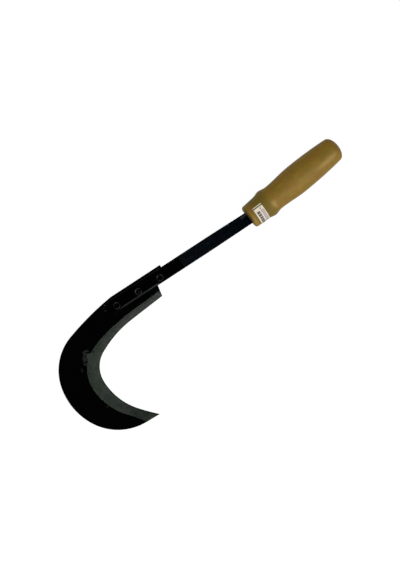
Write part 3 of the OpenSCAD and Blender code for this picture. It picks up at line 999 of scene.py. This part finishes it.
class SICKLE_OT_rivets(bpy.types.Operator):
    """Make the three rivets, each with a hammered head of its own"""

    bl_idname = "sickle.rivets"
    bl_label = "Rivets"

    def execute(self, context):
        settings = context.scene.sickle_rivets
        material = black_lacquer(context.scene.sickle_blade, "hammered_rivet_under_lacquer")
        draw = random.Random(7)
        dent_size = 2.2 * MM
        for node in RIVET_NODES:
            low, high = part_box(node)
            head = (high.x - low.x) / 2
            axis = middle(node).xy
            profile = rivet_profile(node, settings)
            upright = Matrix.Translation((*axis, 0))
            piece = turned_piece(node + "_dressed", profile, RIVET_SIDES, upright)

            # The hammer leaves a flat at each blow round the head
            bpy.ops.object.mode_set(mode="EDIT")
            for k in range(settings.facets):
                angle = math.tau * (k + draw.uniform(-0.3, 0.3)) / settings.facets
                tilt = math.radians(draw.uniform(30, 50))
                out = Vector((math.cos(angle), math.sin(angle), 0))
                blow = Vector((*axis, high.z)) + out * head * draw.uniform(0.78, 0.88)
                bpy.ops.mesh.select_all(action="SELECT")
                bpy.ops.mesh.bisect(
                    plane_co=blow,
                    plane_no=out * math.sin(tilt) + Vector((0, 0, math.cos(tilt))),
                    use_fill=True,
                    clear_outer=True,
                    threshold=0.0001 * MM,
                )
            bpy.ops.object.mode_set(mode="OBJECT")

            # Dents lower the head above its shoulder, and glints are painted on its rim in places
            rim_glint = piece.data.attributes.new("rim_glint", "FLOAT", "POINT")
            for vertex in piece.data.vertices:
                above = (vertex.co.z - BAR_TOP) / (high.z - BAR_TOP)
                if above > 0.3:
                    dent = 0.5 + 0.5 * noise.noise(vertex.co / dent_size)
                    vertex.co.z -= settings.hammering * dent * min(1.0, above)
                side = (vertex.co.xy - axis) / (head - settings.rim)
                rim_glint.data[vertex.index].value = rim_glint_share(side, RIVET_ARCS[node])
            smooth_shade(piece, 30)
            piece.data.materials.append(material)
            hand_over(piece, "rivet_steel", node)
        return {"FINISHED"}


# The handle


def handle_profile(settings):
    """Half section of the turned handle as (height, radius), close enough to shade smoothly."""
    # The rings stop just short of both ends, and are closer together where those are rounded
    end_gap, last_step = 0.02 * MM, 0.15 * MM
    front_round, front_step = 4 * MM, 0.35 * MM
    butt_round, butt_step = 9 * MM, 0.12 * MM
    last = HANDLE_LENGTH - end_gap
    stations = [end_gap]
    while stations[-1] < last:
        here = stations[-1]
        to_butt = HANDLE_LENGTH - here
        step = front_step if here < front_round else settings.ring_step
        if to_butt < butt_round:
            step = max(butt_step, 0.1 * to_butt)
        stations.append(min(here + step, last) if last - here > last_step else last)
    return [(s, handle_radius(s)) for s in stations]


class SICKLE_OT_handle(bpy.types.Operator):
    """Make the handle: turned, sanded by hand, with the slot that the hot tang burnt"""

    bl_idname = "sickle.handle"
    bl_label = "Handle"

    def execute(self, context):
        settings = context.scene.sickle_handle
        along_axis = HANDLE_FRAME @ Matrix.Rotation(math.radians(90), 4, "Y")
        profile = handle_profile(settings)
        piece = turned_piece("handle_dressed", profile, HANDLE_SIDES, along_axis)
        hollow = 24 * MM
        normals = [v.normal.copy() for v in piece.data.vertices]
        for vertex, normal in zip(piece.data.vertices, normals):
            dip = 0.5 + 0.5 * noise.noise(vertex.co / hollow)
            vertex.co -= normal * settings.unevenness * dip

        # The slot is the tang's own shape, grown by the gap that is left round it
        gap = 0.1 * MM
        cutter = node_copy("shank", "slot_cutter")
        bpy.ops.mesh.select_all(action="SELECT")
        bpy.ops.transform.shrink_fatten(value=gap, use_even_offset=True)
        bpy.ops.object.mode_set(mode="OBJECT")
        apply_modifier(piece, "BOOLEAN", operation="DIFFERENCE", solver="EXACT", object=cutter)
        bpy.data.objects.remove(cutter)
        merge_slivers(piece)
        smooth_shade(piece, 40)
        piece.data.materials.append(varnished_wood(settings))
        hand_over(piece, "handle_wood", "handle")
        return {"FINISHED"}


# The price label


class SICKLE_OT_price_label(bpy.types.Operator):
    """Make the price label: a plain paper sticker wrapped on the collar"""

    bl_idname = "sickle.price_label"
    bl_label = "Price label"

    def execute(self, context):
        settings = context.scene.sickle_label
        bpy.ops.object.select_all(action="DESELECT")
        bpy.ops.mesh.primitive_grid_add(x_subdivisions=18, y_subdivisions=44, size=1)
        piece = context.object
        piece.name = piece.data.name = "price_label_dressed"
        radius = handle_radius(settings.start)
        cosine, sine = math.cos(settings.skew), math.sin(settings.skew)
        for vertex in piece.data.vertices:
            along = (vertex.co.x + 0.5) * settings.width
            around = (0.5 - vertex.co.y) * settings.length
            station = settings.start + along * cosine + around * sine
            angle = settings.first_angle - (around * cosine - along * sine) / radius
            lift = handle_radius(station) + settings.glue
            local = Vector((station, lift * math.sin(angle), lift * math.cos(angle)))
            vertex.co = HANDLE_FRAME @ local
        apply_modifier(piece, "SOLIDIFY", thickness=settings.thickness, offset=1.0)
        smooth_shade(piece, 30)
        piece.data.materials.append(printed_paper(settings))
        hand_over(piece, "label_paper", "price_label")
        return {"FINISHED"}


# The stage


def resting_plane(balance):
    """A corner and the upward normal of the table under the sickle as it lies on it."""
    shell = bmesh.new()
    for point in node_points(*frame["nodes"]):
        shell.verts.new(point)
    hull = bmesh.ops.convex_hull(shell, input=shell.verts)["geom"]
    for face in (f for f in hull if isinstance(f, bmesh.types.BMFace) and f.normal.z < -0.5):
        corners = [v.co.copy() for v in face.verts]
        foot = balance - face.normal * face.normal.dot(balance - corners[0])
        if geometry.intersect_point_tri(foot, *corners[:3]):
            found = corners[0], -face.normal
            shell.free()
            return found
    raise RuntimeError("no face of the hull lies under the balance point")


def white_table():
    """Seamless white table top: white to the camera and in reflections, with a faint soft shadow."""
    material, add = new_material("white_table_top")
    path = add("LightPath").outputs
    mirrors = (path["Is Glossy Ray"], path["Is Transmission Ray"])
    mirrored = add("Math", mirrors, operation="MAXIMUM")
    seen = add("Math", (path["Is Camera Ray"], mirrored), operation="MAXIMUM")
    plain = add("BsdfDiffuse", [rgba(linear("#7c7c7c"))])
    faint = add("BsdfDiffuse", [rgba(linear("#5c5c5c"))])
    place = add("TexCoord").outputs["Object"]
    away = add("VectorMath", [place], operation="LENGTH")
    # The glow makes up for the light of the lamps, which fades from 0.3 m to 1 m away
    level = add("MapRange", (away, 0.3, 1.0, 0.93, 1.0))
    glow = add("Emission", {"Strength": level})
    lit = add("AddShader", (faint, glow))
    upper = add("MixShader", (seen, plain, lit))
    # From below the table lets the view through, so that the underside of the sickle shows
    below = add("NewGeometry").outputs["Backfacing"]
    clear = add("BsdfTransparent")
    both = add("MixShader", (below, upper, clear))
    add("OutputMaterial", [both])
    return material


def studio_world(scene, settings, key_side):
    """White to the camera. As light: pale walls, brightest beside the key light, and a dark ceiling."""
    world = bpy.data.worlds.new("studio")
    scene.world = world
    world.use_nodes = True
    world.node_tree.nodes.clear()
    add = partial(add_node, world.node_tree)
    direction = add("TexCoord").outputs["Generated"]
    height = add("SeparateXYZ", [direction]).outputs["Z"]
    steepness = add("Math", [height], operation="ABSOLUTE")
    wall_top, ceiling_edge = 0.1, 0.7
    span = (steepness, wall_top, ceiling_edge, settings.walls, settings.ceiling)
    fall = add("MapRange", span, interpolation_type="SMOOTHSTEP")
    key_direction = (math.cos(key_side), math.sin(key_side), 0)
    towards_key = add("VectorMath", (direction, key_direction), operation="DOT_PRODUCT")
    side = add("MapRange", (towards_key, -1, 0.5, 0.2, 1))
    glow = add("Math", (fall, side), operation="MULTIPLY")
    camera = add("LightPath").outputs["Is Camera Ray"]
    strength = add("Math", (camera, glow), operation="MAXIMUM")
    sky = add("Background", ((1, 1, 1, 1), strength))
    add("OutputWorld", [sky])


def add_area_light(name, aim, azimuth, elevation, distance, size, power):
    """A square soft light that faces a place from a direction."""
    data = bpy.data.lights.new(name, "AREA")
    data.shape = "SQUARE"
    data.size = size
    data.energy = power
    lamp = bpy.data.objects.new(name, data)
    bpy.context.scene.collection.objects.link(lamp)
    flat = math.cos(elevation)
    out = Vector((flat * math.cos(azimuth), flat * math.sin(azimuth), math.sin(elevation)))
    lamp.location = aim + out * distance
    lamp.rotation_euler = out.to_track_quat("Z", "Y").to_euler()
    return lamp


class SICKLE_OT_stage(bpy.types.Operator):
    """Make the stage: a white table under the sickle, soft lights, and the camera"""

    bl_idname = "sickle.stage"
    bl_label = "Stage"

    def execute(self, context):
        scene = context.scene
        settings = scene.sickle_stage
        scene.view_settings.view_transform = "Standard"
        aim = Vector(settings.aim)

        corner, upward = resting_plane(Vector(settings.balance))
        bpy.ops.object.select_all(action="DESELECT")
        bpy.ops.mesh.primitive_plane_add(size=20.0)
        floor = context.object
        floor.name = floor.data.name = "table"
        turn = upward.to_track_quat("Z", "Y").to_matrix().to_4x4()
        floor.matrix_world = Matrix.Translation(corner) @ turn
        floor.data.materials.append(white_table())

        # The sensor's long side is the picture's height
        sensor = 36.0
        data = bpy.data.cameras.new("camera")
        data.lens = settings.lens
        data.sensor_width = sensor
        camera = bpy.data.objects.new("camera", data)
        scene.collection.objects.link(camera)
        camera.location = aim + Vector((0, 0, settings.frame_height * settings.lens / sensor))
        camera.rotation_euler = (0, 0, settings.turn)
        scene.camera = camera

        # Each lamp's direction, its steepness in degrees, and its distance and size in metres
        right = settings.turn - math.radians(20)
        lower_right = settings.turn - math.radians(45)
        upper_left = lower_right + math.pi
        lamps = (
            ("key", lower_right, 38, 1.3, 1.4, settings.key_power),
            ("overhead", upper_left, 70, 1.6, 1.6, settings.overhead_power),
            ("softbox", right, 50, 1.3, 0.5, settings.softbox_power),
        )
        studio_world(scene, settings, lower_right)
        for name, azimuth, steepness, distance, size, power in lamps:
            elevation = math.radians(steepness)
            lamp = add_area_light(name, aim, azimuth, elevation, distance, size, power)
            # The softbox makes the glare. The others light the colours and leave none, as if
            # they were shot through crossed filters
            lamp.visible_glossy = name == "softbox"
            lamp.visible_diffuse = name != "softbox"
        return {"FINISHED"}


# The add-on


class SICKLE_PT_panel(bpy.types.Panel):
    """Sickle tools in the sidebar"""

    bl_idname = "SICKLE_PT_panel"
    bl_label = "Hooked Sickle"
    bl_space_type = "VIEW_3D"
    bl_region_type = "UI"
    bl_category = "Sickle"

    def draw(self, context):
        for operator in OPERATORS:
            self.layout.operator(operator.bl_idname)
        for name, group in SETTINGS.items():
            box = self.layout.box()
            box.label(text=group.__doc__)
            for key in group.__annotations__:
                box.prop(getattr(context.scene, name), key)


SETTINGS = {
    "sickle_blade": SICKLE_PG_blade,
    "sickle_shank": SICKLE_PG_shank,
    "sickle_rivets": SICKLE_PG_rivets,
    "sickle_handle": SICKLE_PG_handle,
    "sickle_label": SICKLE_PG_label,
    "sickle_stage": SICKLE_PG_stage,
}
OPERATORS = (
    SICKLE_OT_stage,
    SICKLE_OT_blade,
    SICKLE_OT_shank,
    SICKLE_OT_rivets,
    SICKLE_OT_handle,
    SICKLE_OT_price_label,
)


def register():
    for group in (*SETTINGS.values(), *OPERATORS, SICKLE_PT_panel):
        bpy.utils.register_class(group)
    for name, group in SETTINGS.items():
        setattr(bpy.types.Scene, name, bpy.props.PointerProperty(type=group))


def unregister():
    for name in SETTINGS:
        delattr(bpy.types.Scene, name)
    for group in (SICKLE_PT_panel, *reversed(OPERATORS), *SETTINGS.values()):
        bpy.utils.unregister_class(group)


def main():
    register()
    bpy.ops.sickle.stage()
    bpy.ops.sickle.blade()
    bpy.ops.sickle.shank()
    bpy.ops.sickle.rivets()
    bpy.ops.sickle.handle()
    bpy.ops.sickle.price_label()


if __name__ == "__main__":
    main()
